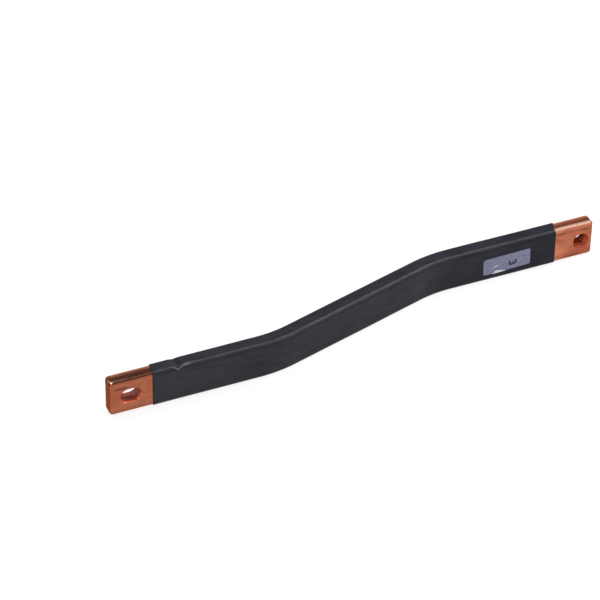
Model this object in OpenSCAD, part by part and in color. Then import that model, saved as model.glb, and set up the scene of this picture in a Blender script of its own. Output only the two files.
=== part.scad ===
// Insulated flat copper bus bar with a double bend, bare drilled ends and a phase label.
// The bar stands on its narrow edge. X runs along the two parallel ends, from the slotted
// end to the drilled end, Y points to the back and Z points up. The origin is in the middle
// of the bar's plan, on the surface that the sleeve stands on.

/* [Copper bar] */
// Width of the flat bar, which stands upright
bar_width = 20; // [17:0.5:40]
// Thickness of the flat bar
bar_thickness = 8; // [5:0.5:12]
// Radius of the four drawn long edges
edge_radius = 1.6; // [0.4:0.1:2.2]
// Radius of the two corners of each cut end, seen from the side
end_corner_radius = 1.6; // [0.4:0.1:5]
// Radius of the upright edges of each cut end, seen from above
end_edge_radius = 2; // [0.2:0.1:2.4]

/* [Bends] */
// Straight run at the slotted end, from the cut end to the first bend
slot_run = 79.5; // [40:0.5:200]
// Straight run of the slanted middle, between the two bends
slant_run = 83; // [10:1:200]
// Straight run at the drilled end, from the second bend to the cut end
hole_run = 81.5; // [66:0.5:200]
// Angle of each of the two opposite bends
bend_angle = 16; // [5:1:45]
// Radius of each bend, at the middle of the bar's thickness
bend_radius = 68; // [20:1:150]
// Swelling of the section on every face, where it was pressed round a bend
bend_swell = 0.04; // [0.03:0.01:0.15]

/* [Fixing holes] */
// Diameter of the round hole, which clears an M8 bolt
hole_diameter = 8.4; // [5:0.1:11]
// Distance from the cut end to the middle of the round hole
hole_setback = 6.9; // [5.5:0.1:14]
// Width of the slotted hole, which clears an M8 bolt
slot_width = 8.4; // [5:0.1:10.5]
// Length of the slotted hole along the bar, end to end
slot_length = 11; // [9:0.1:16]
// Distance from the cut end to the middle of the slotted hole
slot_setback = 11.2; // [9:0.1:14]

/* [Insulating sleeve] */
// Wall of the shrunk-on sleeve
sleeve_wall = 0.5; // [0.3:0.05:1.5]
// Clearance between the sleeve and the bar
sleeve_gap = 0.05; // [0.02:0.01:0.2]
// Bare copper at the slotted end, from the cut end to the sleeve
bare_slot_end = 23; // [20:0.5:35]
// Bare copper at the drilled end, from the cut end to the sleeve
bare_hole_end = 22; // [18:0.5:35]

/* [Phase label] */
// Length of the label along the bar
label_length = 26.7; // [10:0.1:35]
// Height of the label
label_height = 10; // [5:0.1:12]
// Thickness of the label
label_thickness = 0.15; // [0.1:0.05:0.5]
// Radius of the label's corners
label_corner_radius = 1; // [0.2:0.1:2.4]
// Distance from the sleeve's cut end to the label
label_setback = 14.5; // [3:0.1:25]
// Distance from the middle of the bar's width down to the middle of the label
label_drop = 1.1; // [-2:0.1:2]
// Turn of the label against the bar, as it was stuck on by hand
label_tilt = 1.4; // [-3:0.1:3]

/* [Hidden] */
$fn = 96;
// How far a cutter reaches past the face that it opens
cut_past = 1;
// Angle by which the bar's swollen bends lap over the straight runs beside them
bar_lap = 0.6;
// The same angle on the sleeve, longer so that its clearance holds past the bar's laps
sleeve_lap = 1;
// Depth of the sleeve over the bar's faces
sleeve_depth = sleeve_gap + sleeve_wall;
// Run and sideways shift of one bend in plan
bend_reach = bend_radius * sin(bend_angle);
bend_shift = bend_radius * (1 - cos(bend_angle));
// Sideways offset of the drilled end against the slotted end
plan_offset = 2 * bend_shift + slant_run * sin(bend_angle);
// Overall length along the parallel ends
plan_length = slot_run + 2 * bend_reach + slant_run * cos(bend_angle) + hole_run;

// Rectangle with round corners, centred on the origin
module round_rectangle(across, up, radius) {
    square([across - 2 * radius, up], center = true);
    square([across, up - 2 * radius], center = true);
    for (x = [-1, 1], y = [-1, 1])
        translate([x * (across / 2 - radius), y * (up / 2 - radius)])
            circle(radius);
}

// Section of the bar with the given depth of material added on every face
module bar_section(depth) {
    round_rectangle(bar_thickness + 2 * depth, bar_width + 2 * depth, edge_radius + depth);
}

// Straight run of the section along X
module straight_run(length, depth) {
    rotate([90, 0, 90])
        linear_extrude(length)
            bar_section(depth);
}

// Bend that leaves the X direction and turns to the back, with a lap on each side
module bend(depth, lap) {
    translate([0, bend_radius, 0])
        rotate(-90 - lap)
            rotate_extrude(angle = bend_angle + 2 * lap)
                translate([bend_radius, 0])
                    bar_section(depth + bend_swell);
}

// Section with the given depth carried along the bar's middle line, cut short at each end
module along_the_bar(depth, lap, short_of_slot_end, short_of_hole_end) {
    translate([short_of_slot_end, 0, 0])
        straight_run(slot_run - short_of_slot_end, depth);
    translate([slot_run, 0, 0])
        bend(depth, lap);
    translate([slot_run + bend_reach, bend_shift, 0])
        rotate(bend_angle)
            straight_run(slant_run, depth);
    translate([plan_length - hole_run, plan_offset, 0]) {
        rotate(180)
            bend(depth, lap);
        straight_run(hole_run - short_of_hole_end, depth);
    }
}

// What a round corner of the given radius leaves over, in the corner at the origin
module corner_waste(radius) {
    difference() {
        translate([-cut_past, -radius])
            square(radius + cut_past);
        translate([radius, -radius])
            circle(radius);
    }
}

// Waste of all the rounded edges of a cut end that faces -X
module end_waste() {
    for (side = [0, 1]) {
        mirror([0, 0, side])
            translate([0, 0, bar_width / 2])
                rotate([90, 0, 0])
                    linear_extrude(bar_thickness + 2 * cut_past, center = true)
                        corner_waste(end_corner_radius);
        mirror([0, side, 0])
            translate([0, bar_thickness / 2, 0])
                linear_extrude(bar_width + 2 * cut_past, center = true)
                    corner_waste(end_edge_radius);
    }
}

// Drill through the bar's thickness
module drill(diameter) {
    rotate([90, 0, 0])
        cylinder(h = bar_thickness + 2 * cut_past, d = diameter, center = true);
}

// Slot cutter through the bar's thickness, long along X
module slot_cutter() {
    straight_length = slot_length - slot_width;
    for (side = [-1, 1])
        translate([side * straight_length / 2, 0, 0])
            drill(slot_width);
    cube([straight_length, bar_thickness + 2 * cut_past, slot_width], center = true);
}

// Moves the bar's own frame, with its middle line from the slotted end, to the part's frame
module in_part_frame() {
    translate([-plan_length / 2, -plan_offset / 2, bar_width / 2 + sleeve_depth + bend_swell])
        children();
}

// Drawn copper bar, bent twice, with rounded cut ends, a slot at one end and a round hole at the other
module copper_bar() {
    color([0.72, 0.42, 0.30])
        in_part_frame()
            difference() {
                along_the_bar(0, bar_lap, 0, 0);
                end_waste();
                translate([slot_setback, 0, 0])
                    slot_cutter();
                translate([plan_length, plan_offset, 0]) {
                    mirror([1, 0, 0])
                        end_waste();
                    translate([-hole_setback, 0, 0])
                        drill(hole_diameter);
                }
            }
}

// Thin black tube shrunk over the bent bar, cut square at both ends
module insulation_sleeve() {
    color([0.16, 0.16, 0.17])
        in_part_frame()
            difference() {
                along_the_bar(sleeve_depth, sleeve_lap, bare_slot_end, bare_hole_end);
                along_the_bar(sleeve_gap, sleeve_lap, bare_slot_end - cut_past, bare_hole_end - cut_past);
            }
}

// Thin pale sticker on the front of the sleeve, near the drilled end
module phase_label() {
    color([0.55, 0.55, 0.63])
        in_part_frame()
            translate([
                plan_length - bare_hole_end - label_setback - label_length / 2,
                plan_offset - bar_thickness / 2 - sleeve_depth,
                -label_drop
            ])
                rotate([90, 0, 0])
                    rotate(label_tilt)
                        linear_extrude(label_thickness)
                            round_rectangle(label_length, label_height, label_corner_radius);
}

copper_bar();
insulation_sleeve();
phase_label();
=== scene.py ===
import bmesh
import bpy
import numpy as np
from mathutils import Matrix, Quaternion, Vector


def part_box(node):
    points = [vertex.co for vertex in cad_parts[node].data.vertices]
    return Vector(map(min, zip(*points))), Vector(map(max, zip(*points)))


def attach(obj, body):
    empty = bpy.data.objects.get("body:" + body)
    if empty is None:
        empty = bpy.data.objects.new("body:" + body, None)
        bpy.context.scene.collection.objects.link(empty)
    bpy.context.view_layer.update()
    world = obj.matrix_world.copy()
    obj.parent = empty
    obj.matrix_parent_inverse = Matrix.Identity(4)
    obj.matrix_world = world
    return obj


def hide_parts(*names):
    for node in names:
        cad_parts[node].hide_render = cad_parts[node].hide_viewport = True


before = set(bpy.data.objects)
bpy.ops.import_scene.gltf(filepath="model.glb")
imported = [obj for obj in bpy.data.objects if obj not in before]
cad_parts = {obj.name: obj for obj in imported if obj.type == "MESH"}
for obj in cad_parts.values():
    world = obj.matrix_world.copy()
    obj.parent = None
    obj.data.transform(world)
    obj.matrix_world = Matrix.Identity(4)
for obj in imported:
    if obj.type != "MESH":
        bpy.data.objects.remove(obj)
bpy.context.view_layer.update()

# Copper bar
# One drawn flat copper bar with rounded long edges, bent twice the flat way to a shallow offset.
# Its two ends are cut and deburred, and one is punched with a slot, the other with a round hole.

mm = 0.001
bar_width = 20 * mm
bar_thickness = 8 * mm
edge_radius = 1.6 * mm
slot_run = 79.5 * mm
slant_run = 83 * mm
hole_run = 81.5 * mm
bend_angle = np.radians(16)
bend_radius = 68 * mm
end_corner_radius = 1.6 * mm
end_edge_radius = 2 * mm
inner_corner_radius = 0.3 * mm
hole_radius = 4.2 * mm
slot_half_straight = 1.3 * mm
slot_setback = 11.2 * mm
hole_setback = 6.9 * mm
rim_radius = 0.3 * mm
dish_reach = 1.5 * mm
dish_depth = 0.08 * mm
slot_end_block = 19.5 * mm
hole_end_block = 14.5 * mm

core_across = bar_thickness / 2 - edge_radius
bend_run = bend_radius * bend_angle
bar_knots = np.cumsum([0, slot_run, bend_run, slant_run, bend_run, hole_run])
bar_length = bar_knots[-1]
copper_low, copper_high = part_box("copper_bar")
bar_middle_height = (copper_low.z + copper_high.z) / 2
plan_steps = 20001
merge_reach = 0.0005 * mm
sliver_reach = 0.0001 * mm
tiny = 1e-9


def middle_line(arc):
    """Point and heading of the bar's middle line at an arc length from the slotted end. The heading
    is zero, turns evenly to the bend angle, holds it along the slant and turns evenly back, and the
    point is the running sum of its cosine and sine, moved so that the plan is centred."""
    fine = np.linspace(0, bar_length, plan_steps)
    heading = np.interp(fine, bar_knots, [0, 0, bend_angle, bend_angle, 0, 0])
    middle_heading = (heading[1:] + heading[:-1]) / 2
    step = np.diff(fine)
    x = np.concatenate([[0], np.cumsum(step * np.cos(middle_heading))])
    y = np.concatenate([[0], np.cumsum(step * np.sin(middle_heading))])
    place = [np.interp(arc, fine, line - line[-1] / 2) for line in (x, y)]
    return place[0], place[1], np.interp(arc, fine, heading)


def along_bar(arc, across, up):
    """Points at an arc length along the bar, a distance across its thickness towards the back, and
    a height over the middle of its width: the middle line's point plus across times its normal."""
    x, y, heading = middle_line(arc)
    height = bar_middle_height + up + 0 * x
    return np.stack([x - across * np.sin(heading), y + across * np.cos(heading), height], -1)


def closed_mesh(name, patches):
    """One closed mesh from grid patches, each an array of rows by columns by 3, where four
    neighbours are a quad. Borders that lie on each other merge, and the faces turn outwards."""
    points = []
    quads = []
    start = 0
    for patch in patches:
        rows, columns = patch.shape[:2]
        index = start + np.arange(rows * columns).reshape(rows, columns)
        corners = [index[:-1, :-1], index[1:, :-1], index[1:, 1:], index[:-1, 1:]]
        quads.append(np.stack(corners, -1).reshape(-1, 4))
        points.append(patch.reshape(-1, 3))
        start += rows * columns
    mesh = bpy.data.meshes.new(name)
    mesh.from_pydata(np.concatenate(points).tolist(), [], np.concatenate(quads).tolist())
    shape = bmesh.new()
    shape.from_mesh(mesh)
    bmesh.ops.remove_doubles(shape, verts=shape.verts, dist=merge_reach)
    bmesh.ops.dissolve_degenerate(shape, edges=shape.edges, dist=sliver_reach)
    bmesh.ops.recalc_face_normals(shape, faces=shape.faces)
    shape.to_mesh(mesh)
    shape.free()
    mesh.polygons.foreach_set("use_smooth", np.ones(len(mesh.polygons), bool))
    piece = bpy.data.objects.new(name, mesh)
    bpy.context.scene.collection.objects.link(piece)
    return piece


def vertex_places(piece):
    """The piece's vertices as an array of rows by 3."""
    places = np.zeros(len(piece.data.vertices) * 3)
    piece.data.vertices.foreach_get("co", places)
    return places.reshape(-1, 3)


def vertex_mask(piece, name, values):
    """Keeps one number for each vertex under a name that the piece's material reads."""
    mask = piece.data.attributes.new(name, "FLOAT", "POINT")
    mask.data.foreach_set("value", np.asarray(values, np.float32))


def stretches(counts):
    """Whole numbers 0, 1, 2 and so on joined by the given counts of even steps."""
    steps = [i + np.arange(count) / count for i, count in enumerate(counts)]
    return np.concatenate(steps + [[len(counts)]])


quarter = np.radians(np.linspace(0, 90, 9))
wall_share = np.linspace(-1, 1, 13)[1:-1]
flat_half_height = bar_width / 2 - edge_radius
junction_heights = np.linspace(-1, 1, 25) * flat_half_height
outline_steps = [14, 12, 18, 12, 14]
flat_rows = np.array([0, 0.05, 0.12, 0.2, 0.3, 0.42, 0.56, 0.7, 0.84, 0.95, 1])[:, None]
shaft_rows = 140


def wrapped(rounding, half_thickness):
    """Depth under the outline and place across the thickness, going from the front flat round its
    edge, over the wall and round the back edge: two quarter circles and the straight between."""
    rounding = rounding[:, None]
    straight = half_thickness - rounding
    depth = rounding * (1 - np.sin(quarter))
    across = straight + rounding * np.cos(quarter)
    wall = straight * wall_share
    return (np.concatenate([depth, 0 * wall, depth[:, ::-1]], 1),
            np.concatenate([-across, wall, across[:, ::-1]], 1))


def bar_end(arc_of, setback, half_straight, block):
    """Patches of one cut end with its hole. The outline is a rectangle with round corners, open
    towards the bar, which draws in by the edges' radii on its way over them to the flats. The flats
    are spanned between it and the hole's rim, a circle carried along a straight, and sink as a
    parabola towards the rim, where the punch drew them in."""
    t = stretches(outline_steps)
    knots = np.arange(6)
    to_block = np.interp(t, knots, [1, 0, 0, 0, 0, 1])[:, None]
    side = np.interp(t, knots, [1, 1, 1, -1, -1, -1])[:, None]
    facing = np.radians(np.interp(t, knots, [90, 90, 180, 180, 270, 270]))[:, None]
    rounding = edge_radius + (end_edge_radius - edge_radius) * np.cos(facing[:, 0]) ** 2
    depth, across = wrapped(rounding, bar_thickness / 2)
    drawn_in = depth / rounding[:, None]
    corner = end_corner_radius + (inner_corner_radius - end_corner_radius) * drawn_in
    corner_out = end_edge_radius * drawn_in + corner
    corner_up = bar_width / 2 - edge_radius * drawn_in - corner
    edge_out = to_block * block + (1 - to_block) * corner_out + corner * np.cos(facing)
    edge_up = side * corner_up + corner * np.sin(facing)
    edge = along_bar(arc_of(edge_out), across, edge_up)

    ring_out = np.concatenate([edge_out[:, 0], np.full(junction_heights.size, block)]) - setback
    ring_up = np.concatenate([edge_up[:, 0], junction_heights])
    ring_out = np.append(ring_out, ring_out[0])
    ring_up = np.append(ring_up, ring_up[0])
    ray = np.arctan2(ring_up, ring_out)
    start_radius = hole_radius + rim_radius
    to_straight = start_radius / np.maximum(np.abs(np.sin(ray)), tiny)
    to_round = np.abs(half_straight * np.cos(ray)) + np.sqrt(
        start_radius ** 2 - (half_straight * np.sin(ray)) ** 2)
    on_straight = to_straight * np.abs(np.cos(ray)) <= half_straight
    ray_length = np.where(on_straight, to_straight, to_round)
    rim_out = ray_length * np.cos(ray)
    rim_up = ray_length * np.sin(ray)
    spine = np.clip(rim_out, -half_straight, half_straight)
    away_out = (rim_out - spine) / start_radius
    away_up = rim_up / start_radius

    def dish(from_bore):
        """Depth of the dish at a distance from the bore: a parabola that ends at its reach."""
        return dish_depth * np.clip(1 - from_bore / dish_reach, 0, 1) ** 2

    flat_out = (1 - flat_rows) * rim_out + flat_rows * ring_out
    flat_up = (1 - flat_rows) * rim_up + flat_rows * ring_up
    near = np.clip(flat_out, -half_straight, half_straight)
    sunk = (1 - flat_rows) * dish(np.hypot(flat_out - near, flat_up) - hole_radius)
    flats = [along_bar(arc_of(flat_out + setback), face * (bar_thickness / 2 - sunk), flat_up)
             for face in (-1, 1)]

    depth, across = wrapped(np.full(ray.size, rim_radius), bar_thickness / 2)
    across = across - np.sign(across) * dish(depth) * (np.abs(across) > bar_thickness / 2 - rim_radius)
    bore_radius = hole_radius + depth
    bore_out = setback + spine[:, None] + away_out[:, None] * bore_radius
    bore = along_bar(arc_of(bore_out), across, away_up[:, None] * bore_radius)
    return [edge, *flats, bore]


def from_slot_end(out):
    """Arc length of a place that far in from the slotted end."""
    return out


def from_hole_end(out):
    """Arc length of a place that far in from the drilled end."""
    return bar_length - out


edge_depth, edge_across = wrapped(np.array([edge_radius]), bar_thickness / 2)
edge_up = bar_width / 2 - edge_depth[0]
half_bar = np.full(junction_heights.size, bar_thickness / 2)
ring_across = np.concatenate([-half_bar, edge_across[0], half_bar, edge_across[0, ::-1]])
ring_up = np.concatenate([junction_heights, edge_up, junction_heights[::-1], -edge_up[::-1]])
ring_across = np.append(ring_across, ring_across[0])
ring_up = np.append(ring_up, ring_up[0])
shaft_arc = np.linspace(slot_end_block, bar_length - hole_end_block, shaft_rows)[:, None]
shaft = along_bar(shaft_arc + 0 * ring_up, ring_across, ring_up)
copper = closed_mesh("copper_bar_drawn", [
    shaft,
    *bar_end(from_slot_end, slot_setback, slot_half_straight, slot_end_block),
    *bar_end(from_hole_end, hole_setback, 0.0, hole_end_block),
])


def eased(share):
    """A share held between nothing and one, with a smooth start and stop."""
    share = np.clip(share, 0, 1)
    return share ** 2 * (3 - 2 * share)


# Reaches of the painted shade on the upper front edge and of the painted highlight and reflection on the
# top, given for the slotted end and the drilled end where the two differ, and turns round the upper
# front edge in degrees.
edge_shade_start = (0.53 * mm, 0.64 * mm)
edge_shade_reach = (0.60 * mm, 0.50 * mm)
edge_shade_turn = 26
edge_shade_span = 28
strip_centre = 0.25 * mm
strip_reach = (0.95 * mm, 0.75 * mm)
strip_run = 13 * mm
wall_blend = 0.5 * rim_radius
rim_blend = 0.4 * rim_radius
lower_blend = 3 * mm
cut_blend = 0.5 * mm
back_reflection_start = 1.0 * mm
back_reflection_blend = 0.9 * mm
top_blend = 0.4 * mm

hole_x = middle_line(bar_length - hole_setback)[0]
slot_x = middle_line(slot_setback)[0]
bar_end_x, bar_end_y, _ = middle_line(bar_length)
places = vertex_places(copper)
from_end = bar_end_x - np.abs(places[:, 0])
across = places[:, 1] - np.sign(places[:, 0]) * bar_end_y
up = places[:, 2] - bar_middle_height
round_way = np.hypot(places[:, 0] - hole_x, up)
slot_side = np.maximum(np.abs(places[:, 0] - slot_x) - slot_half_straight, 0)
bore_way = np.minimum(round_way, np.hypot(slot_side, up)) - hole_radius
into_edge = np.minimum(np.abs(across) - core_across, up - flat_half_height) / edge_radius
behind_edge = across + core_across
edge_turn = np.degrees(np.arctan2(
    np.clip(up - flat_half_height, tiny, None), np.clip(-behind_edge, tiny, None)))
on_top = up > flat_half_height
at_slot = places[:, 0] < 0
past_start = np.clip(behind_edge + np.where(at_slot, *edge_shade_start), 0, None)
# Painted shade on the upper front edge, past a turn round it.
edge_shaded = np.exp(-(past_start / np.where(at_slot, *edge_shade_reach)) ** 2)
edge_shaded *= eased((edge_turn - edge_shade_turn) / edge_shade_span)
# A painted highlight in a strip along the front of the top: along the whole drilled end, and at the
# slotted end fading away from its corner.
strip_highlight = np.exp(-((behind_edge - strip_centre) / np.where(at_slot, *strip_reach)) ** 2)
strip_highlight *= np.where(at_slot, eased(1.1 - from_end / strip_run), 1)
shaded_lower_rim = eased(bore_way / rim_blend) * eased(3 - 2 * bore_way / rim_radius) * eased(-up / lower_blend)
# A painted reflection along the back of the top.
back_reflection = eased((across - back_reflection_start) / back_reflection_blend)
vertex_mask(copper, "punched_wall", np.clip(1 - bore_way / wall_blend, 0, 1))
vertex_mask(copper, "shaded_lower_rim", shaded_lower_rim * (~at_slot & (across < 0)))
vertex_mask(copper, "from_front", across / bar_thickness + 0.5)
vertex_mask(copper, "cut_end", np.clip(1.2 - from_end / cut_blend, 0, 1))
vertex_mask(copper, "front_edge", edge_shaded * on_top)
vertex_mask(copper, "top_front", strip_highlight * on_top)
vertex_mask(copper, "top_back", back_reflection * on_top)
vertex_mask(copper, "back_edge", np.clip(2.5 * into_edge, 0, 1) * (across > 0))
vertex_mask(copper, "top_face", np.clip((up - bar_width / 2) / top_blend + 1.2, 0, 1))


def noise_group():
    """Node group of a noise over the object's own places, stretched by a number for each axis."""
    group = bpy.data.node_groups.new("stretched_noise", "ShaderNodeTree")
    for name, kind in (("Stretch", "Vector"), ("Detail", "Float"), ("Roughness", "Float")):
        group.interface.new_socket(name, in_out="INPUT", socket_type="NodeSocket" + kind)
    group.interface.new_socket("Value", in_out="OUTPUT", socket_type="NodeSocketFloat")
    given = group.nodes.new("NodeGroupInput")
    result = group.nodes.new("NodeGroupOutput")
    place = group.nodes.new("ShaderNodeTexCoord")
    stretch = group.nodes.new("ShaderNodeVectorMath")
    stretch.operation = "MULTIPLY"
    noise = group.nodes.new("ShaderNodeTexNoise")
    noise.inputs["Scale"].default_value = 1.0
    group.links.new(place.outputs["Object"], stretch.inputs[0])
    group.links.new(given.outputs["Stretch"], stretch.inputs[1])
    group.links.new(stretch.outputs["Vector"], noise.inputs["Vector"])
    group.links.new(given.outputs["Detail"], noise.inputs["Detail"])
    group.links.new(given.outputs["Roughness"], noise.inputs["Roughness"])
    group.links.new(noise.outputs["Fac"], result.inputs["Value"])
    return group


stretched_noise = noise_group()


class Surface:
    """A new material with its node tree, its Principled shader and a short way to add nodes."""

    def __init__(self, name):
        self.material = bpy.data.materials.new(name)
        self.material.use_nodes = True
        self.nodes = self.material.node_tree.nodes
        self.links = self.material.node_tree.links
        self.shader = self.nodes["Principled BSDF"]

    def node(self, kind, inputs=None, **settings):
        """A node with its settings, and its inputs given as values or as another node's output."""
        made = self.nodes.new(kind)
        for key, value in settings.items():
            setattr(made, key, value)
        for key, value in (inputs or {}).items():
            if isinstance(value, bpy.types.NodeSocket):
                self.links.new(value, made.inputs[key])
            else:
                made.inputs[key].default_value = value
        return made

    def noise(self, stretch, detail, roughness=0.55):
        """The stretched noise with this material's own values, around a half."""
        return self.node("ShaderNodeGroup", {
            "Stretch": stretch, "Detail": detail, "Roughness": roughness},
            node_tree=stretched_noise).outputs["Value"]

    def mask(self, name):
        """A number kept for each vertex under this name."""
        return self.node("ShaderNodeAttribute", attribute_name=name).outputs["Fac"]

    def spot(self, centre, reach):
        """One at a place in the object, falling smoothly to nothing at a reach for each axis, both
        given in millimetres."""
        centre, reach = ([value * mm for value in values] for values in (centre, reach))
        place = self.node("ShaderNodeTexCoord").outputs["Object"]
        away = self.node("ShaderNodeVectorMath", {0: place, 1: centre}, operation="SUBTRACT")
        shares = self.node("ShaderNodeVectorMath", {0: away.outputs[0], 1: reach}, operation="DIVIDE")
        length = self.node("ShaderNodeVectorMath", {0: shares.outputs[0]}, operation="LENGTH")
        return self.graded(length.outputs["Value"], 0.0, 1.0, 1.0, 0.0)

    def graded(self, value, low, high, to_low=0.0, to_high=1.0):
        """A value mapped smoothly from one range to another and held at its ends."""
        return self.node("ShaderNodeMapRange", {
            "Value": value, "From Min": low, "From Max": high, "To Min": to_low, "To Max": to_high},
            interpolation_type="SMOOTHSTEP").outputs["Result"]

    def blend(self, share, first, second):
        """Two colours blended by a share, the first at nothing and the second at one."""
        mixed = self.node("ShaderNodeMix", data_type="RGBA", clamp_factor=True)
        for key, value in (("Factor_Float", share), ("A_Color", first), ("B_Color", second)):
            socket = next(s for s in mixed.inputs if s.identifier == key)
            if isinstance(value, bpy.types.NodeSocket):
                self.links.new(value, socket)
            else:
                socket.default_value = value
        return next(s for s in mixed.outputs if s.identifier == "Result_Color")

    def combined(self, first, second, kind="ADD", third=0.0):
        """Two values combined by a mathematical operation."""
        made = self.node("ShaderNodeMath", operation=kind)
        for socket, value in zip(made.inputs, (first, second, third)):
            if isinstance(value, bpy.types.NodeSocket):
                self.links.new(value, socket)
            else:
                socket.default_value = value
        return made.outputs[0]

    def product(self, first, second):
        """Two values multiplied."""
        return self.combined(first, second, "MULTIPLY")

    def bumped(self, height, distance, strength):
        """Sets the shader's normal from a height, with the height's full depth given in metres."""
        bump = self.node("ShaderNodeBump", {
            "Height": height, "Distance": distance, "Strength": strength})
        self.links.new(bump.outputs["Normal"], self.shader.inputs["Normal"])

    def to_shader(self, **sockets):
        """Links outputs to the shader's sockets of those names, with underscores for spaces, or sets
        plain values on them."""
        for key, value in sockets.items():
            socket = self.shader.inputs[key.replace("_", " ")]
            if isinstance(value, bpy.types.NodeSocket):
                self.links.new(value, socket)
            else:
                socket.default_value = value


salmon_copper = (0.51, 0.174, 0.096, 1)
brown_copper = (0.365, 0.115, 0.063, 1)
dull_copper = (0.24, 0.070, 0.036, 1)
scuffed_copper = (0.10, 0.034, 0.020, 1)
edge_shade_right = (0.12, 0.062, 0.044, 1)
glint_copper = (0.85, 0.56, 0.42, 1)
pale_copper = (0.62, 0.250, 0.155, 1)
edge_shade_left = (0.033, 0.012, 0.0075, 1)
back_edge_reflection = (0.70, 0.30, 0.20, 1)
top_dark_left = (0.110, 0.043, 0.024, 1)
top_pale_left = (0.60, 0.240, 0.165, 1)
top_highlight_left = (0.42, 0.190, 0.150, 1)
top_dark_right = (0.24, 0.070, 0.038, 1)
top_pale_right = (0.58, 0.205, 0.128, 1)
top_highlight_right = (1.00, 0.690, 0.540, 1)
reddened_copper = (0.27, 0.055, 0.026, 1)
red_copper = (0.140, 0.031, 0.022, 1)
cut_shade_pale = (0.120, 0.027, 0.021, 1)
cut_shade_dark = (0.050, 0.0095, 0.0075, 1)
slot_front_copper = (0.90, 0.26, 0.135, 1)
slot_dull_copper = (0.50, 0.105, 0.050, 1)
bore_front_copper = (0.50, 0.115, 0.055, 1)
bore_dull_copper = (0.34, 0.072, 0.033, 1)
bore_middle_highlight = (0.85, 0.17, 0.08, 1)
wall_shade_left = (0.25, 0.082, 0.068, 1)
wall_shade_right = (0.055, 0.009, 0.005, 1)
copper_edge_tint = (0.80, 0.48, 0.40, 1)

# Marks on the bare ends and painted glints at the slotted end's corner, each a centre and a reach for
# the three axes in millimetres, and a strength.
scuffs = [((134.4, 10.07, 17.7), (4.4, 2, 0.9)), ((120.4, 10.07, 18.2), (4.4, 2, 0.7)),
          ((127.0, 10.07, 2.4), (9.0, 2, 1.0)), ((-133.2, -18.07, 16.5), (6.2, 2, 1.7))]
corner_glints = [((-137.8, -16.4, 20.5), (0.9, 1.7, 1.2)), ((-138.3, -14.7, 20.3), (0.8, 1.2, 0.9))]
red_patches = [((131.0, 10.07, 5.0), (8.0, 3, 6.5), 0.45),
               ((-136.8, -18.07, 10.0), (5.0, 3, 11.0), 0.32)]
pale_centre, pale_reach, pale_strength = (118.0, 10.07, 6.5), (10.0, 3, 7.0), 0.25

# Stretch of the noises along the bar, across it and up it, in turns of the noise to a metre.
line_stretch = (60, 6000, 6000)
streak_stretch = (14, 800, 800)
cloud_stretch = (170, 170, 170)
band_stretch = (9, 620, 620)
burr_stretch = (900, 900, 900)
shear_stretch = (40, 1700, 110)

# Ranges of the finishes: from one value to another, and what the first and the last become.
tarnish_range = (0.85, 1.25, 0.0, 0.45)
cloud_range = (0.42, 0.72, 0.0, 0.5)
lower_light_range = (2 * mm, 13 * mm, 0.18, 0.0)
foot_shade_range = (1.6 * mm, 3.8 * mm, 0.45, 0.0)
end_side_range = (117 * mm, 127 * mm, 0.0, 0.34)
edge_band_start = (5.0 * mm, 7.0 * mm, 0.0, 0.5)
edge_band_stop = (7.3 * mm, 8.3 * mm, 1.0, 0.15)
edge_band_streaks = (0.3, 0.65, 0.4, 1.0)
scuff_streaks = (0.75, 1.2, 0.2, 0.85)
scuff_range = (0.0, 0.7)
band_range = (0.42, 0.82)
back_reflection_lift = 0.35
wall_reach_range = (0.0, 1.0, 0.85, 0.45)
wall_depth_range = (0.08, 0.40)
burr_range = (0.35, 0.65)
halfway_start = (0.05, 0.20, 0.0, 0.8)
halfway_stop = (0.26, 0.50, 1.0, 0.0)
shear_range = (0.75, 1.25)
cut_front_range = (0.03, 0.42, 0.8, 0.0)
glint_range = (0.0, 0.8)
shine_range = (0.7, 1.3, 0.17, 0.28)
wall_dullness = 0.3
edge_dullness_range = (0.0, 1.0, 0.36, 0.14)
streak_depth = 4.0
drawn_depth = 0.006 * mm

drawn_copper = Surface("drawn_copper")
place = drawn_copper.node("ShaderNodeTexCoord").outputs["Object"]
split_place = drawn_copper.node("ShaderNodeSeparateXYZ", {"Vector": place}).outputs
lines = drawn_copper.noise(line_stretch, detail=3.0, roughness=0.6)
streaks = drawn_copper.noise(streak_stretch, detail=2.0)
clouds = drawn_copper.noise(cloud_stretch, detail=3.0)
drawn_marks = drawn_copper.combined(streaks, lines)
# Share from nothing at the slotted end to one at the drilled end, by which the two ends' colours differ.
towards_drilled_end = drawn_copper.graded(split_place["X"], -bar_end_x, bar_end_x)
from_middle = drawn_copper.combined(split_place["Z"], bar_middle_height, "SUBTRACT")
from_middle = drawn_copper.combined(from_middle, 0.0, "ABSOLUTE")

# The flats: browner at the slotted end, tarnished along the drawn lines and in clouds, then the marks.
colour = drawn_copper.blend(towards_drilled_end, brown_copper, salmon_copper)
colour = drawn_copper.blend(drawn_copper.graded(drawn_marks, *tarnish_range), colour, dull_copper)
colour = drawn_copper.blend(drawn_copper.graded(clouds, *cloud_range), colour, dull_copper)
pale = drawn_copper.product(drawn_copper.spot(pale_centre, pale_reach), pale_strength)
colour = drawn_copper.blend(pale, colour, pale_copper)
# Paler towards the bottom: painted light against the floor's shadow that the flats reflect.
lower_light = drawn_copper.graded(split_place["Z"], *lower_light_range)
colour = drawn_copper.blend(lower_light, colour, pale_copper)
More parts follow.
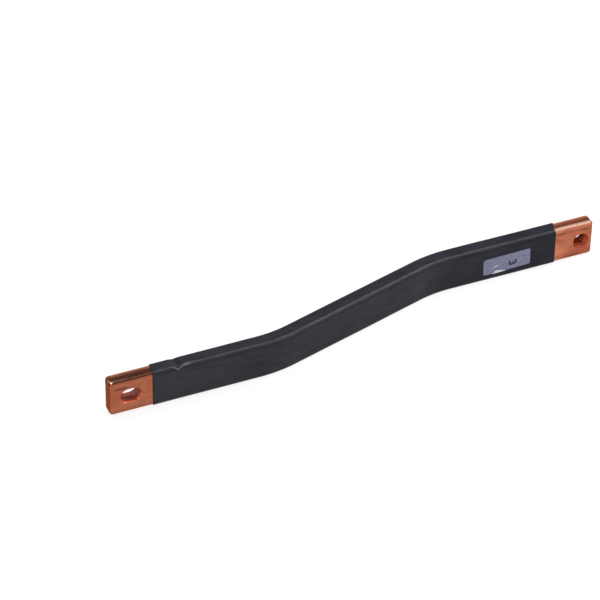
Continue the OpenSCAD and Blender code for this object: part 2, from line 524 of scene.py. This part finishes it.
# Redder along the foot of the slotted end: painted shade on its lower edge.
foot_shade = drawn_copper.graded(split_place["Z"], *foot_shade_range)
foot_shade = drawn_copper.product(foot_shade, drawn_copper.graded(towards_drilled_end, 0.0, 1.0, 1.0, 0.0))
colour = drawn_copper.blend(foot_shade, colour, reddened_copper)
end_side = drawn_copper.graded(split_place["X"], *end_side_range)
colour = drawn_copper.blend(end_side, colour, reddened_copper)
for centre, reach, strength in red_patches:
    patch = drawn_copper.product(drawn_copper.spot(centre, reach), strength)
    colour = drawn_copper.blend(patch, colour, reddened_copper)
edge_band = drawn_copper.product(drawn_copper.graded(from_middle, *edge_band_start),
                                 drawn_copper.graded(from_middle, *edge_band_stop))
edge_band = drawn_copper.product(edge_band, drawn_copper.graded(streaks, *edge_band_streaks))
edge_band = drawn_copper.product(edge_band, towards_drilled_end)
colour = drawn_copper.blend(edge_band, colour, dull_copper)
scuff_worn = drawn_copper.graded(drawn_marks, *scuff_streaks)
for centre, reach in scuffs:
    scuff = drawn_copper.graded(drawn_copper.spot(centre, reach), *scuff_range)
    scuff = drawn_copper.product(scuff, scuff_worn)
    colour = drawn_copper.blend(scuff, colour, scuffed_copper)

# The top edge: painted darker than the flats as painted shade, with dark and pale bands along it, a
# painted highlight in a strip along its front, and a painted reflection at its back and on the back
# edge.
bands = drawn_copper.noise(band_stretch, detail=2.0)
# Bands lifted to pale at the back of the top: a painted reflection.
bands = drawn_copper.combined(drawn_copper.mask("top_back"), back_reflection_lift, "MULTIPLY_ADD", bands)
bands = drawn_copper.graded(bands, *band_range)
# The top's dark colours are painted shade.
top_dark = drawn_copper.blend(towards_drilled_end, top_dark_left, top_dark_right)
top_pale = drawn_copper.blend(towards_drilled_end, top_pale_left, top_pale_right)
top = drawn_copper.blend(bands, top_dark, top_pale)
# The painted highlight along the top's front.
top_highlight = drawn_copper.blend(towards_drilled_end, top_highlight_left, top_highlight_right)
top = drawn_copper.blend(drawn_copper.mask("top_front"), top, top_highlight)
colour = drawn_copper.blend(drawn_copper.mask("top_face"), colour, top)
# The upper front edge is painted dark as painted shade, darkest at the slotted end.
front_edge = drawn_copper.mask("front_edge")
edge_shade_colour = drawn_copper.blend(towards_drilled_end, edge_shade_left, edge_shade_right)
colour = drawn_copper.blend(front_edge, colour, edge_shade_colour)
# A painted reflection on the upper back edge.
colour = drawn_copper.blend(drawn_copper.mask("back_edge"), colour, back_edge_reflection)

# The walls of the holes: painted bright in front as painted light, with burred patches, and painted dark
# towards the back as painted shade.
punched = drawn_copper.mask("punched_wall")
from_front = drawn_copper.mask("from_front")
wall_depth = drawn_copper.product(from_front, drawn_copper.graded(towards_drilled_end, *wall_reach_range))
wall_depth = drawn_copper.graded(wall_depth, *wall_depth_range)
wall_shade = drawn_copper.blend(towards_drilled_end, wall_shade_left, wall_shade_right)
burr = drawn_copper.graded(drawn_copper.noise(burr_stretch, detail=2.0), *burr_range)
wall_front = drawn_copper.blend(towards_drilled_end, slot_front_copper, bore_front_copper)
wall_dull = drawn_copper.blend(towards_drilled_end, slot_dull_copper, bore_dull_copper)
wall = drawn_copper.blend(burr, wall_dull, wall_front)
wall = drawn_copper.blend(wall_depth, wall, wall_shade)
# A painted highlight in a band halfway into the drilled hole's wall.
halfway_highlight = drawn_copper.product(drawn_copper.graded(from_front, *halfway_start),
                               drawn_copper.graded(from_front, *halfway_stop))
halfway_highlight = drawn_copper.product(halfway_highlight, towards_drilled_end)
wall = drawn_copper.blend(halfway_highlight, wall, bore_middle_highlight)
colour = drawn_copper.blend(punched, colour, wall)
# The drilled hole's lower rim is painted dark as painted shade.
colour = drawn_copper.blend(drawn_copper.mask("shaded_lower_rim"), colour, red_copper)

# The cut ends: painted dark as painted shade, with upright lines of the shear, redder towards the front,
# and two painted glints at the slotted end's corner.
shear_lines = drawn_copper.noise(shear_stretch, detail=3.0, roughness=0.65)
shear_lines = drawn_copper.combined(shear_lines, clouds)
cut_shade = drawn_copper.blend(drawn_copper.graded(shear_lines, *shear_range), cut_shade_pale, cut_shade_dark)
cut_front = drawn_copper.graded(from_front, *cut_front_range)
cut_shade = drawn_copper.blend(cut_front, cut_shade, reddened_copper)
colour = drawn_copper.blend(drawn_copper.mask("cut_end"), colour, cut_shade)
# Two painted glints at the slotted end's upper front corner.
for centre, reach in corner_glints:
    glint = drawn_copper.graded(drawn_copper.spot(centre, reach), *glint_range)
    colour = drawn_copper.blend(glint, colour, glint_copper)

shine = drawn_copper.graded(drawn_copper.combined(lines, clouds), *shine_range)
shine = drawn_copper.combined(punched, wall_dullness, "MULTIPLY_ADD", shine)
edge_dullness = drawn_copper.graded(towards_drilled_end, *edge_dullness_range)
shine = drawn_copper.combined(front_edge, edge_dullness, "MULTIPLY_ADD", shine)
drawn_copper.to_shader(Base_Color=colour, Roughness=shine, Metallic=1.0, Specular_Tint=copper_edge_tint)
drawn_height = drawn_copper.combined(streaks, streak_depth, "MULTIPLY_ADD", lines)
drawn_copper.bumped(drawn_height, drawn_depth, strength=1.0)
copper.data.materials.append(drawn_copper.material)
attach(copper, "root")
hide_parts("copper_bar")

# Insulating sleeve
# A thin tube of matte black plastic, slid on and shrunk over the bent bar, cut by hand a little
# aslant at both ends. It was pinched into a small fold across its top near the slotted end.

sleeve_wall = 0.5 * mm
sleeve_gap = 0.05 * mm
bare_slot_end = 23 * mm
bare_hole_end = 22 * mm
lip_radius = 0.16 * mm
fold_arc = 35.7 * mm
fold_left = 3.0 * mm
fold_right = 3.4 * mm
fold_top = -1.5 * mm
fold_drop = 2.3 * mm
fold_depth = 0.42 * mm
fold_lip = 0.24 * mm
lip_below = 0.8 * mm
lip_above = 0.15 * mm
press_blend = 0.35 * mm
notch_half = 3.2 * mm
valley_depth = 0.36 * mm
valley_front = 0.6 * mm
valley_back = 0.5 * mm
valley_blend = 1.2 * mm
beside_fold = 5.6 * mm
beside_reach = 2.4 * mm
beside_above = 1.3 * mm
beside_depth = 0.12 * mm
wave_height = 0.02 * mm
wave_lengths = np.array([7.1, 11.3, 23.0]) * mm
wave_turns = [1, -2, 1]
wave_starts = [0.0, 1.1, 2.3]
wave_shares = [1.0, 1.0, 1.3]
start_slant = 0.12
stop_slant = 0.30
slant_reach = 16 * mm
outer_radius = edge_radius + sleeve_gap + sleeve_wall

section_knots = np.arange(10)
section_steps = [30, 32, 27, 30, 16, 24, 10, 12, 10]
fine_front = 4 * mm
steepest_turn = 1.2
fold_rows = np.arange(-5, 10.01, 0.14) * mm
before_rows = 8
after_rows = 170
inner_rows = 70
row_gap = 0.5 * mm
core_up = bar_width / 2 - edge_radius
front_split = core_up - fine_front
section_t = stretches(section_steps)


def sleeve_section(radius):
    """The section's closed outline, from the foot of the front over the top to the back and under:
    a circle of the given radius carried round the rectangle of the corners' centres."""
    spread = core_across * np.array([-1, -1, -1, -1, 1, 1, 1, 1, -1, -1])
    rise = core_up * np.array([-1, front_split / core_up, 1, 1, 1, 1, -1, -1, -1, -1])
    turn = np.array([180, 180, 180, 90, 90, 0, 0, -90, -90, -180])
    facing = np.radians(np.interp(section_t, section_knots, turn))
    across = np.interp(section_t, section_knots, spread) + radius * np.cos(facing)
    up = np.interp(section_t, section_knots, rise) + radius * np.sin(facing)
    return across, up


def flattened(girth, depth):
    """How far a flat that is pressed to a depth into the round edge lies under it, at a girth from
    the flat's middle: the radius less the flat's distance over the cosine of the turn."""
    turn = np.clip(girth / outer_radius, -steepest_turn, steepest_turn)
    return np.clip(outer_radius - (outer_radius - depth) / np.cos(turn), 0, None)


def fold_line(arc):
    """Share of the fold at an arc length, one at its lowest point, falling straight on the left and as
    an exponential on the right, and the girth of its line below the middle of the upper front edge,
    which drops in a V by that share."""
    along = arc - fold_arc
    left_share = np.clip(1 + along / fold_left, 0, 1)
    share = np.where(along < 0, left_share, np.exp(-np.abs(along) / fold_right))
    return share, fold_top + fold_drop * share


def fold(arc, below):
    """Swelling of the pinched fold at an arc length and a girth below the middle of the upper front
    edge. The edge is pressed flat down to the fold's line, under which the film stands off in a lip.
    A valley leads from the V over the top, the back edge is pressed flat where it ends, and right of
    the V the film lies flat over the edge."""
    along = arc - fold_arc
    share, line = fold_line(arc)
    over = line - below
    pressed = flattened(below, fold_depth * share) * eased(over / press_blend)
    lip_shape = np.where(over < 0, np.exp(over / lip_below), np.exp(-(over / lip_above) ** 2))
    lip = fold_lip * share ** 1.5 * lip_shape
    notch = eased(1 - np.abs(along) / notch_half)
    back_edge = below + outer_radius * np.pi / 2 + 2 * core_across
    on_top = eased((-below - valley_front) / valley_blend)
    on_top = on_top * eased((back_edge + valley_back) / valley_blend)
    valley = valley_depth * notch * on_top
    back_flat = flattened(back_edge, valley_depth * notch)
    beside = np.exp(-((along - beside_fold) / beside_reach) ** 2)
    patch = flattened(below + beside_above, beside_depth * beside)
    return lip - np.maximum.reduce([pressed, valley, back_flat, patch])


def soft_waves(arc, turn):
    """Slow unevenness of the shrunk film: three sine waves of different lengths along the bar that
    shift by whole turns as they go round it, so that they meet at the section's seam."""
    waves = zip(wave_shares, wave_lengths, wave_turns, wave_starts)
    return wave_height * sum(share * np.sin(arc / length + turns * turn + start)
                             for share, length, turns, start in waves)


def slanted(arc, across):
    """Arc length of a place on the sleeve, whose ends are cut a little aslant: near the slotted end it
    moves by a share of the place across, near the drilled end by a share of its distance behind the
    front edge, and both shifts fade evenly to nothing over a reach."""
    to_start = np.clip(1 - (arc - sleeve_start) / slant_reach, 0, 1)
    to_stop = np.clip(1 - (sleeve_stop - arc) / slant_reach, 0, 1)
    behind = np.clip(across + core_across, 0, None)
    return arc + start_slant * to_start * across + stop_slant * to_stop * behind


sleeve_start = bare_slot_end
sleeve_stop = bar_length - bare_hole_end
fine_arc = fold_arc + fold_rows
lip_arc = lip_radius * np.array([0, 0.13, 0.5, 1])
sleeve_arc = np.concatenate([
    sleeve_start + lip_arc,
    np.linspace(sleeve_start + 2 * row_gap, fine_arc[0] - row_gap, before_rows),
    fine_arc,
    np.linspace(fine_arc[-1] + row_gap, sleeve_stop - 2 * row_gap, after_rows),
    sleeve_stop - lip_arc[::-1],
])[:, None]
from_cut = np.minimum(sleeve_arc - sleeve_start, sleeve_stop - sleeve_arc)
lip_round = lip_radius - np.sqrt(lip_radius ** 2 - np.clip(lip_radius - from_cut, 0, None) ** 2)

outline_across, outline_up = sleeve_section(outer_radius)
girth = np.concatenate([[0], np.cumsum(np.hypot(np.diff(outline_across), np.diff(outline_up)))])
upper_front_girth = np.interp(2.5, section_t, girth)
below_edge = upper_front_girth - girth
whole_turn = 2 * np.pi * girth / girth[-1]
swell = fold(sleeve_arc, below_edge) + soft_waves(sleeve_arc, whole_turn) - lip_round
outer_across, outer_up = sleeve_section(outer_radius + swell)
outer = along_bar(slanted(sleeve_arc, outer_across), outer_across, outer_up)
inner_across, inner_up = sleeve_section(edge_radius + sleeve_gap)
inner_arc = np.linspace(sleeve_start, sleeve_stop, inner_rows)[:, None]
inner = along_bar(slanted(inner_arc, inner_across), inner_across, inner_up)
cut_faces = [np.stack([outer[end], inner[end]]) for end in (0, -1)]
sleeve = closed_mesh("shrink_sleeve", [outer, inner, *cut_faces])

# Painted highlight: the film is painted pale along the fold's line, and where it is pressed just right
# of the fold.
crease_width = 0.32 * mm
crease_fade = 0.25
highlight_patch_place = 5.0 * mm
highlight_patch_reach = 1.6 * mm
highlight_patch_above = 0.5 * mm
highlight_patch_width = 0.6 * mm
highlight_patch_share = 0.3

places = vertex_places(sleeve)
arc = places[:, 0] + bar_end_x
out = -(places[:, 1] + bar_end_y + core_across)
rise = places[:, 2] - bar_middle_height - core_up
round_turn = np.arctan2(np.clip(rise, tiny, None), np.clip(out, tiny, None))
below = outer_radius * (np.pi / 4 - round_turn) + np.clip(-rise, 0, None) - np.clip(-out, 0, None)
share, line = fold_line(arc)
crease_highlight = eased(share / crease_fade) * share ** 0.4 * np.exp(-((line - below) / crease_width) ** 2)
highlight_patch_along = (arc - fold_arc - highlight_patch_place) / highlight_patch_reach
highlight_patch_round = (below + highlight_patch_above) / highlight_patch_width
highlight_patch = highlight_patch_share * np.exp(-highlight_patch_along ** 2 - highlight_patch_round ** 2)
vertex_mask(sleeve, "fold_highlight", np.clip(crease_highlight + highlight_patch, 0, 1) * (out > -core_across))

sleeve_black = (0.0028, 0.0024, 0.0062, 1)
sleeve_grey = (0.0058, 0.0051, 0.0105, 1)
fold_highlight_grey = (0.078, 0.077, 0.088, 1)
grain_stretch = (2300, 2300, 2300)
mottle_stretch = (260, 260, 260)
film_cloud_stretch = (45, 45, 45)
rub_stretch = (90, 330, 330)
film_shade_range = (0.75, 1.3)
film_dull_range = (0.7, 1.3, 0.34, 0.46)
gloss_range = (-85 * mm, -30 * mm, 0.30, 0.16)
far_gloss_range = (40 * mm, 110 * mm, 0.0, 0.08)
rub_range = (0.3, 0.7, -0.08, 0.06)
film_specular = 0.12
film_coat_roughness = 0.4
mottle_depth = 2.0
grain_depth = 0.03 * mm

black_sleeve = Surface("black_sleeve")
grain = black_sleeve.noise(grain_stretch, detail=3.0, roughness=0.6)
mottle = black_sleeve.noise(mottle_stretch, detail=3.0)
cloud = black_sleeve.noise(film_cloud_stretch, detail=2.0)
shade = black_sleeve.graded(black_sleeve.combined(mottle, cloud), *film_shade_range)
black = black_sleeve.blend(shade, sleeve_black, sleeve_grey)
# The fold's painted highlight.
black = black_sleeve.blend(black_sleeve.mask("fold_highlight"), black, fold_highlight_grey)
dull = black_sleeve.graded(black_sleeve.combined(grain, mottle), *film_dull_range)
sleeve_x = black_sleeve.node("ShaderNodeSeparateXYZ", {
    "Vector": black_sleeve.node("ShaderNodeTexCoord").outputs["Object"]}).outputs["X"]
glossy = black_sleeve.graded(sleeve_x, *gloss_range)
glossy = black_sleeve.combined(glossy, black_sleeve.graded(sleeve_x, *far_gloss_range), "SUBTRACT")
rubs = black_sleeve.graded(black_sleeve.noise(rub_stretch, detail=4.0, roughness=0.65), *rub_range)
glossy = black_sleeve.combined(glossy, rubs)
black_sleeve.to_shader(Base_Color=black, Roughness=dull, Specular_IOR_Level=film_specular,
                       Coat_Weight=glossy, Coat_Roughness=film_coat_roughness)
film_height = black_sleeve.combined(mottle, mottle_depth, "MULTIPLY_ADD", grain)
black_sleeve.bumped(film_height, grain_depth, strength=0.3)
sleeve.data.materials.append(black_sleeve.material)
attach(sleeve, "root")
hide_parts("insulation_sleeve")

# Phase label
# A pale grey film sticker, pressed by hand on the sleeve's front face near the drilled end, a
# little askew. Its lower edge has lifted in a small wrinkle, and it carries one plain printed digit.

label_length = 26.7 * mm
label_height = 10 * mm
label_thickness = 0.15 * mm
label_corner_radius = 1 * mm
label_setback = 14.5 * mm
label_drop = 1.1 * mm
label_tilt = np.radians(1.4)
flap_x = np.array([-8.7, -6.3, -0.8]) * mm
flap_y = np.array([-5.2, -3.4, -4.9]) * mm
flap_blend = 0.5 * mm
flap_half = 6 * mm
smear_x, smear_y = -6.4 * mm, -0.8 * mm
smear_length, smear_width = 1.4 * mm, 0.5 * mm
smear_slope = 0.25
speck_x, speck_y = 8.2 * mm, 3.4 * mm
speck_length, speck_width = 0.9 * mm, 0.3 * mm
smear_share, speck_share = 0.7, 0.2
lift_height = 0.3 * mm
film_rows = 61
film_columns = 121
label_arc = bar_length - bare_hole_end - label_setback - label_length / 2
label_back = bar_thickness / 2 + sleeve_gap + sleeve_wall


def lifted(x, y):
    """Share of the label's lifted film: a triangle on the lower edge, steeper on its left, with a
    soft border, and two short smears over it, each a smooth hump along a slanted line."""
    border = np.interp(x, flap_x, flap_y)
    flap = eased((border - y) / flap_blend + 0.5) * (np.abs(x - flap_x[1]) < flap_half)
    off_smear = y - smear_y - smear_slope * (x - smear_x)
    smear = np.exp(-((x - smear_x) / smear_length) ** 2 - (off_smear / smear_width) ** 2)
    speck = np.exp(-((x - speck_x) / speck_length) ** 2 - ((y - speck_y) / speck_width) ** 2)
    return np.clip(flap + smear_share * smear + speck_share * speck, 0, 1)


def wrinkle(x, y):
    """How far the film stands off at a place on the label, by how much it is lifted."""
    return lift_height * lifted(x, y)


def on_label(x, y, stand):
    """Places on the label, x along the bar and y up, turned by its tilt, standing off the sleeve."""
    arc = label_arc + x * np.cos(label_tilt) - y * np.sin(label_tilt)
    up = x * np.sin(label_tilt) + y * np.cos(label_tilt) - label_drop
    return along_bar(arc, -(label_back + stand), up)


row_y = label_height / 2 * np.sin(np.radians(np.linspace(-90, 90, film_rows)))[:, None]
into_corner = np.clip(np.abs(row_y) - label_height / 2 + label_corner_radius, 0, None)
corner_cut = label_corner_radius - np.sqrt(label_corner_radius ** 2 - into_corner ** 2)
row_x = (label_length / 2 - corner_cut) * np.linspace(-1, 1, film_columns)
row_y = row_y + 0 * row_x
lift = wrinkle(row_x, row_y)
film_front = on_label(row_x, row_y, lift + label_thickness)
film_back = on_label(row_x, row_y, lift)
film_edges = [np.stack([film_front[i], film_back[i]]) for i in (0, -1)]
film_edges += [np.stack([film_front[:, i], film_back[:, i]]) for i in (0, -1)]
label = closed_mesh("phase_label_film", [film_front, film_back, *film_edges])

places = vertex_places(label)
label_x, _, _ = middle_line(label_arc)
away_x = places[:, 0] - label_x
away_up = places[:, 2] - bar_middle_height + label_drop
film_x = away_x * np.cos(label_tilt) + away_up * np.sin(label_tilt)
film_y = away_up * np.cos(label_tilt) - away_x * np.sin(label_tilt)
# The lifted film, its smear and its speck are painted pale as painted glints.
vertex_mask(label, "lifted_film_glint", lifted(film_x, film_y))

film_dark = (0.073, 0.077, 0.132, 1)
film_pale = (0.093, 0.098, 0.163, 1)
lifted_glint_white = (0.36, 0.36, 0.43, 1)
smear_stretch = (220, 220, 700)
speck_stretch = (1500, 1500, 1500)
smear_range = (0.3, 0.72)
label_gloss_range = (0.7, 1.3, 0.22, 0.38)
smear_depth = 0.03 * mm

label_film = Surface("label_film")
smear = label_film.noise(smear_stretch, detail=3.0)
speck = label_film.noise(speck_stretch, detail=2.0)
film = label_film.blend(label_film.graded(smear, *smear_range), film_dark, film_pale)
# Painted glints where the film lifts.
film = label_film.blend(label_film.mask("lifted_film_glint"), film, lifted_glint_white)
gloss = label_film.graded(label_film.combined(smear, speck), *label_gloss_range)
label_film.to_shader(Base_Color=film, Roughness=gloss)
label_film.bumped(smear, smear_depth, strength=0.2)
label.data.materials.append(label_film.material)
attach(label, "root")
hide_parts("phase_label")

# Printed digit
# One plain figure 3 in black ink, printed on the film so that it reads along the bar's height. Its
# lower bowl lies over its upper one.

digit_x = 3.5 * mm
digit_y = -0.9 * mm
upper_bowl = 0.86 * mm
lower_bowl = 1.0 * mm
bowl_width = 1.25
half_stroke = 0.50 * mm
ink_thickness = 0.02 * mm
ink_overlap = 0.026 * mm

bowl_steps = 40
upper_turns = (160, -88)
lower_turns = (92, -160)
corner_side = half_stroke * np.array([-1, 1, 1, -1, -1])
corner_rise = np.array([1, 1, 0, 0, 1])


def printed_bowl(bowl, centre_up, turns, thickness):
    """Patches of one bowl of the figure: a flat ribbon of ink swept along an arc about a centre, wider
    than it is high, whose width lies along the arc's radius, closed by a cap at each end."""
    turn = np.radians(np.linspace(*turns, bowl_steps))[:, None]
    ink_right = bowl_width * bowl * np.cos(turn) + corner_side * np.cos(turn)
    ink_up = centre_up + (bowl + corner_side) * np.sin(turn)
    ink_x = digit_x + ink_up
    ink_y = digit_y - ink_right
    ink_stand = wrinkle(ink_x, ink_y) + label_thickness + thickness * corner_rise
    body = on_label(ink_x, ink_y, ink_stand)
    return [body] + [body[i][[0, 1, 3, 2]].reshape(2, 2, 3) for i in (0, -1)]


digit = closed_mesh("printed_digit", [
    *printed_bowl(upper_bowl, upper_bowl, upper_turns, ink_thickness),
    *printed_bowl(lower_bowl, -lower_bowl, lower_turns, ink_overlap),
])

ink_black = (0.003, 0.003, 0.008, 1)
ink_grey = (0.008, 0.008, 0.016, 1)
dot_stretch = (3000, 3000, 3000)
dot_range = (0.35, 0.7)

black_ink = Surface("black_ink")
dots = black_ink.noise(dot_stretch, detail=2.0)
ink = black_ink.blend(black_ink.graded(dots, *dot_range), ink_black, ink_grey)
black_ink.to_shader(Base_Color=ink, Roughness=0.5, Specular_IOR_Level=0.2)
digit.data.materials.append(black_ink.material)
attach(digit, "root")

# Floor, light and camera
# A plain pale floor that looks white and keeps the bar's soft shadow, wide studio lamps that aren't
# seen themselves, and a camera on the label's side, above the slotted end.

floor_half = 6.0
floor_level = -0.04 * mm
floor_grey = (0.9, 0.9, 0.9, 1)
floor_glow = 0.8
floor_rows = 41
floor_line = floor_half * np.linspace(-1, 1, floor_rows) ** 3
floor_x, floor_y = np.meshgrid(floor_line, floor_line)
floor_index = np.arange(floor_x.size).reshape(floor_x.shape)
floor_quads = np.stack([floor_index[:-1, :-1], floor_index[:-1, 1:], floor_index[1:, 1:],
                        floor_index[1:, :-1]], -1).reshape(-1, 4)
floor_mesh = bpy.data.meshes.new("floor")
floor_points = np.stack([floor_x, floor_y, floor_level + 0 * floor_x], -1).reshape(-1, 3)
floor_mesh.from_pydata(floor_points.tolist(), [], floor_quads.tolist())
floor = bpy.data.objects.new("floor", floor_mesh)
bpy.context.scene.collection.objects.link(floor)

pale_floor = Surface("pale_floor")
pale_floor.to_shader(Base_Color=floor_grey, Roughness=0.9, Specular_IOR_Level=0.1)
rays = pale_floor.node("ShaderNodeLightPath").outputs
seen = pale_floor.combined(rays["Is Camera Ray"], rays["Is Glossy Ray"], "MAXIMUM")
seen = pale_floor.combined(seen, rays["Is Transmission Ray"], "MAXIMUM")
white = pale_floor.node("ShaderNodeEmission", {"Color": (1, 1, 1, 1), "Strength": 1.0})
glow = pale_floor.product(seen, floor_glow)
mixed = pale_floor.node("ShaderNodeMixShader", {
    0: glow, 1: pale_floor.shader.outputs["BSDF"], 2: white.outputs["Emission"]})
pale_floor.links.new(mixed.outputs["Shader"], pale_floor.nodes["Material Output"].inputs["Surface"])
floor_mesh.materials.append(pale_floor.material)

world = bpy.data.worlds.new("studio")
world.use_nodes = True
bpy.context.scene.world = world
tree = world.node_tree
direction = tree.nodes.new("ShaderNodeTexCoord")
split = tree.nodes.new("ShaderNodeSeparateXYZ")
ramp = tree.nodes.new("ShaderNodeValToRGB")
tree.links.new(direction.outputs["Generated"], split.inputs["Vector"])
tree.links.new(split.outputs["Z"], ramp.inputs["Fac"])
tree.links.new(ramp.outputs["Color"], tree.nodes["Background"].inputs["Color"])
# Levels of the sky's light, each at a height from the horizon, which is 0, to straight above, 1.
sky = [(0.0, 0.95), (0.40, 0.85), (0.52, 0.05), (0.80, 0.05), (0.92, 0.25), (1.0, 0.3)]
while len(ramp.color_ramp.elements) < len(sky):
    ramp.color_ramp.elements.new(0.5)
for element, (place, level) in zip(ramp.color_ramp.elements, sky):
    element.position = place
    element.color = (level, level, level, 1)


def soft_box(name, place, target, size, power):
    """A rectangular studio lamp at a place, turned to face a target, with its two sides in metres and
    its power in watts."""
    lamp = bpy.data.lights.new(name, "AREA")
    lamp.shape = "RECTANGLE"
    lamp.size, lamp.size_y = size
    lamp.energy = power
    box = bpy.data.objects.new(name, lamp)
    box.location = place
    box.rotation_mode = "QUATERNION"
    box.rotation_quaternion = (Vector(target) - Vector(place)).to_track_quat("-Z", "Y")
    box.visible_camera = False
    bpy.context.scene.collection.objects.link(box)


soft_box("edge_box", (0.27, 0.22, 0.80), (0.27, 0.0, 0.0), (0.80, 0.16), 5.0)
soft_box("high_front_box", (0.37, -0.78, 0.84), (0.37, 0.0, 0.0), (1.2, 0.7), 3.2)
soft_box("left_fill", (-1.2, -0.56, 0.88), (0.0, 0.0, 0.0), (1.4, 1.0), 7)
soft_box("overhead_box", (0.47, -0.02, 0.74), (0.10, 0.0, 0.0), (0.42, 0.40), 1.8)
soft_box("slant_edge_box", (0.60, 0.05, 0.80), (-0.03, 0.0, 0.0), (0.16, 0.30), 1.6)
soft_box("back_box", (0.62, 0.85, 0.76), (0.62, 0.0, 0.0), (0.90, 0.60), 0.95)
soft_box("front_box", (0.42, -0.52, 0.28), (0.12, 0.0, 0.0), (0.40, 0.50), 0.4)
soft_box("slant_box", (0.72, -0.33, 0.80), (0.0, 0.0, 0.0), (0.36, 0.6), 5.5)
soft_box("low_right_box", (0.78, -0.70, 0.26), (0.0, 0.0, 0.0), (0.4, 0.5), 0.9)
soft_box("left_box", (-0.50, 0.40, 0.97), (-0.13, 0.0, 0.0), (0.3, 0.3), 4.5)

aim = Vector((-22.45, 19.46, 10.59)) * mm
view_azimuth = np.radians(-23.53)
view_elevation = np.radians(39.01)
view_roll = np.radians(0.99)
view_distance = 1663.7 * mm
sensor_width = 36
lens_length = 196.57
towards_camera = Vector((np.sin(view_azimuth) * np.cos(view_elevation),
                         -np.cos(view_azimuth) * np.cos(view_elevation), np.sin(view_elevation)))
camera_data = bpy.data.cameras.new("camera")
camera_data.sensor_width = sensor_width
camera_data.lens = lens_length
camera = bpy.data.objects.new("camera", camera_data)
camera.rotation_mode = "QUATERNION"
camera.location = aim + view_distance * towards_camera
rolled = Quaternion((0, 0, 1), view_roll)
camera.rotation_quaternion = (-towards_camera).to_track_quat("-Z", "Y") @ rolled
bpy.context.scene.collection.objects.link(camera)
bpy.context.scene.camera = camera
bpy.context.scene.view_settings.view_transform = "Standard"
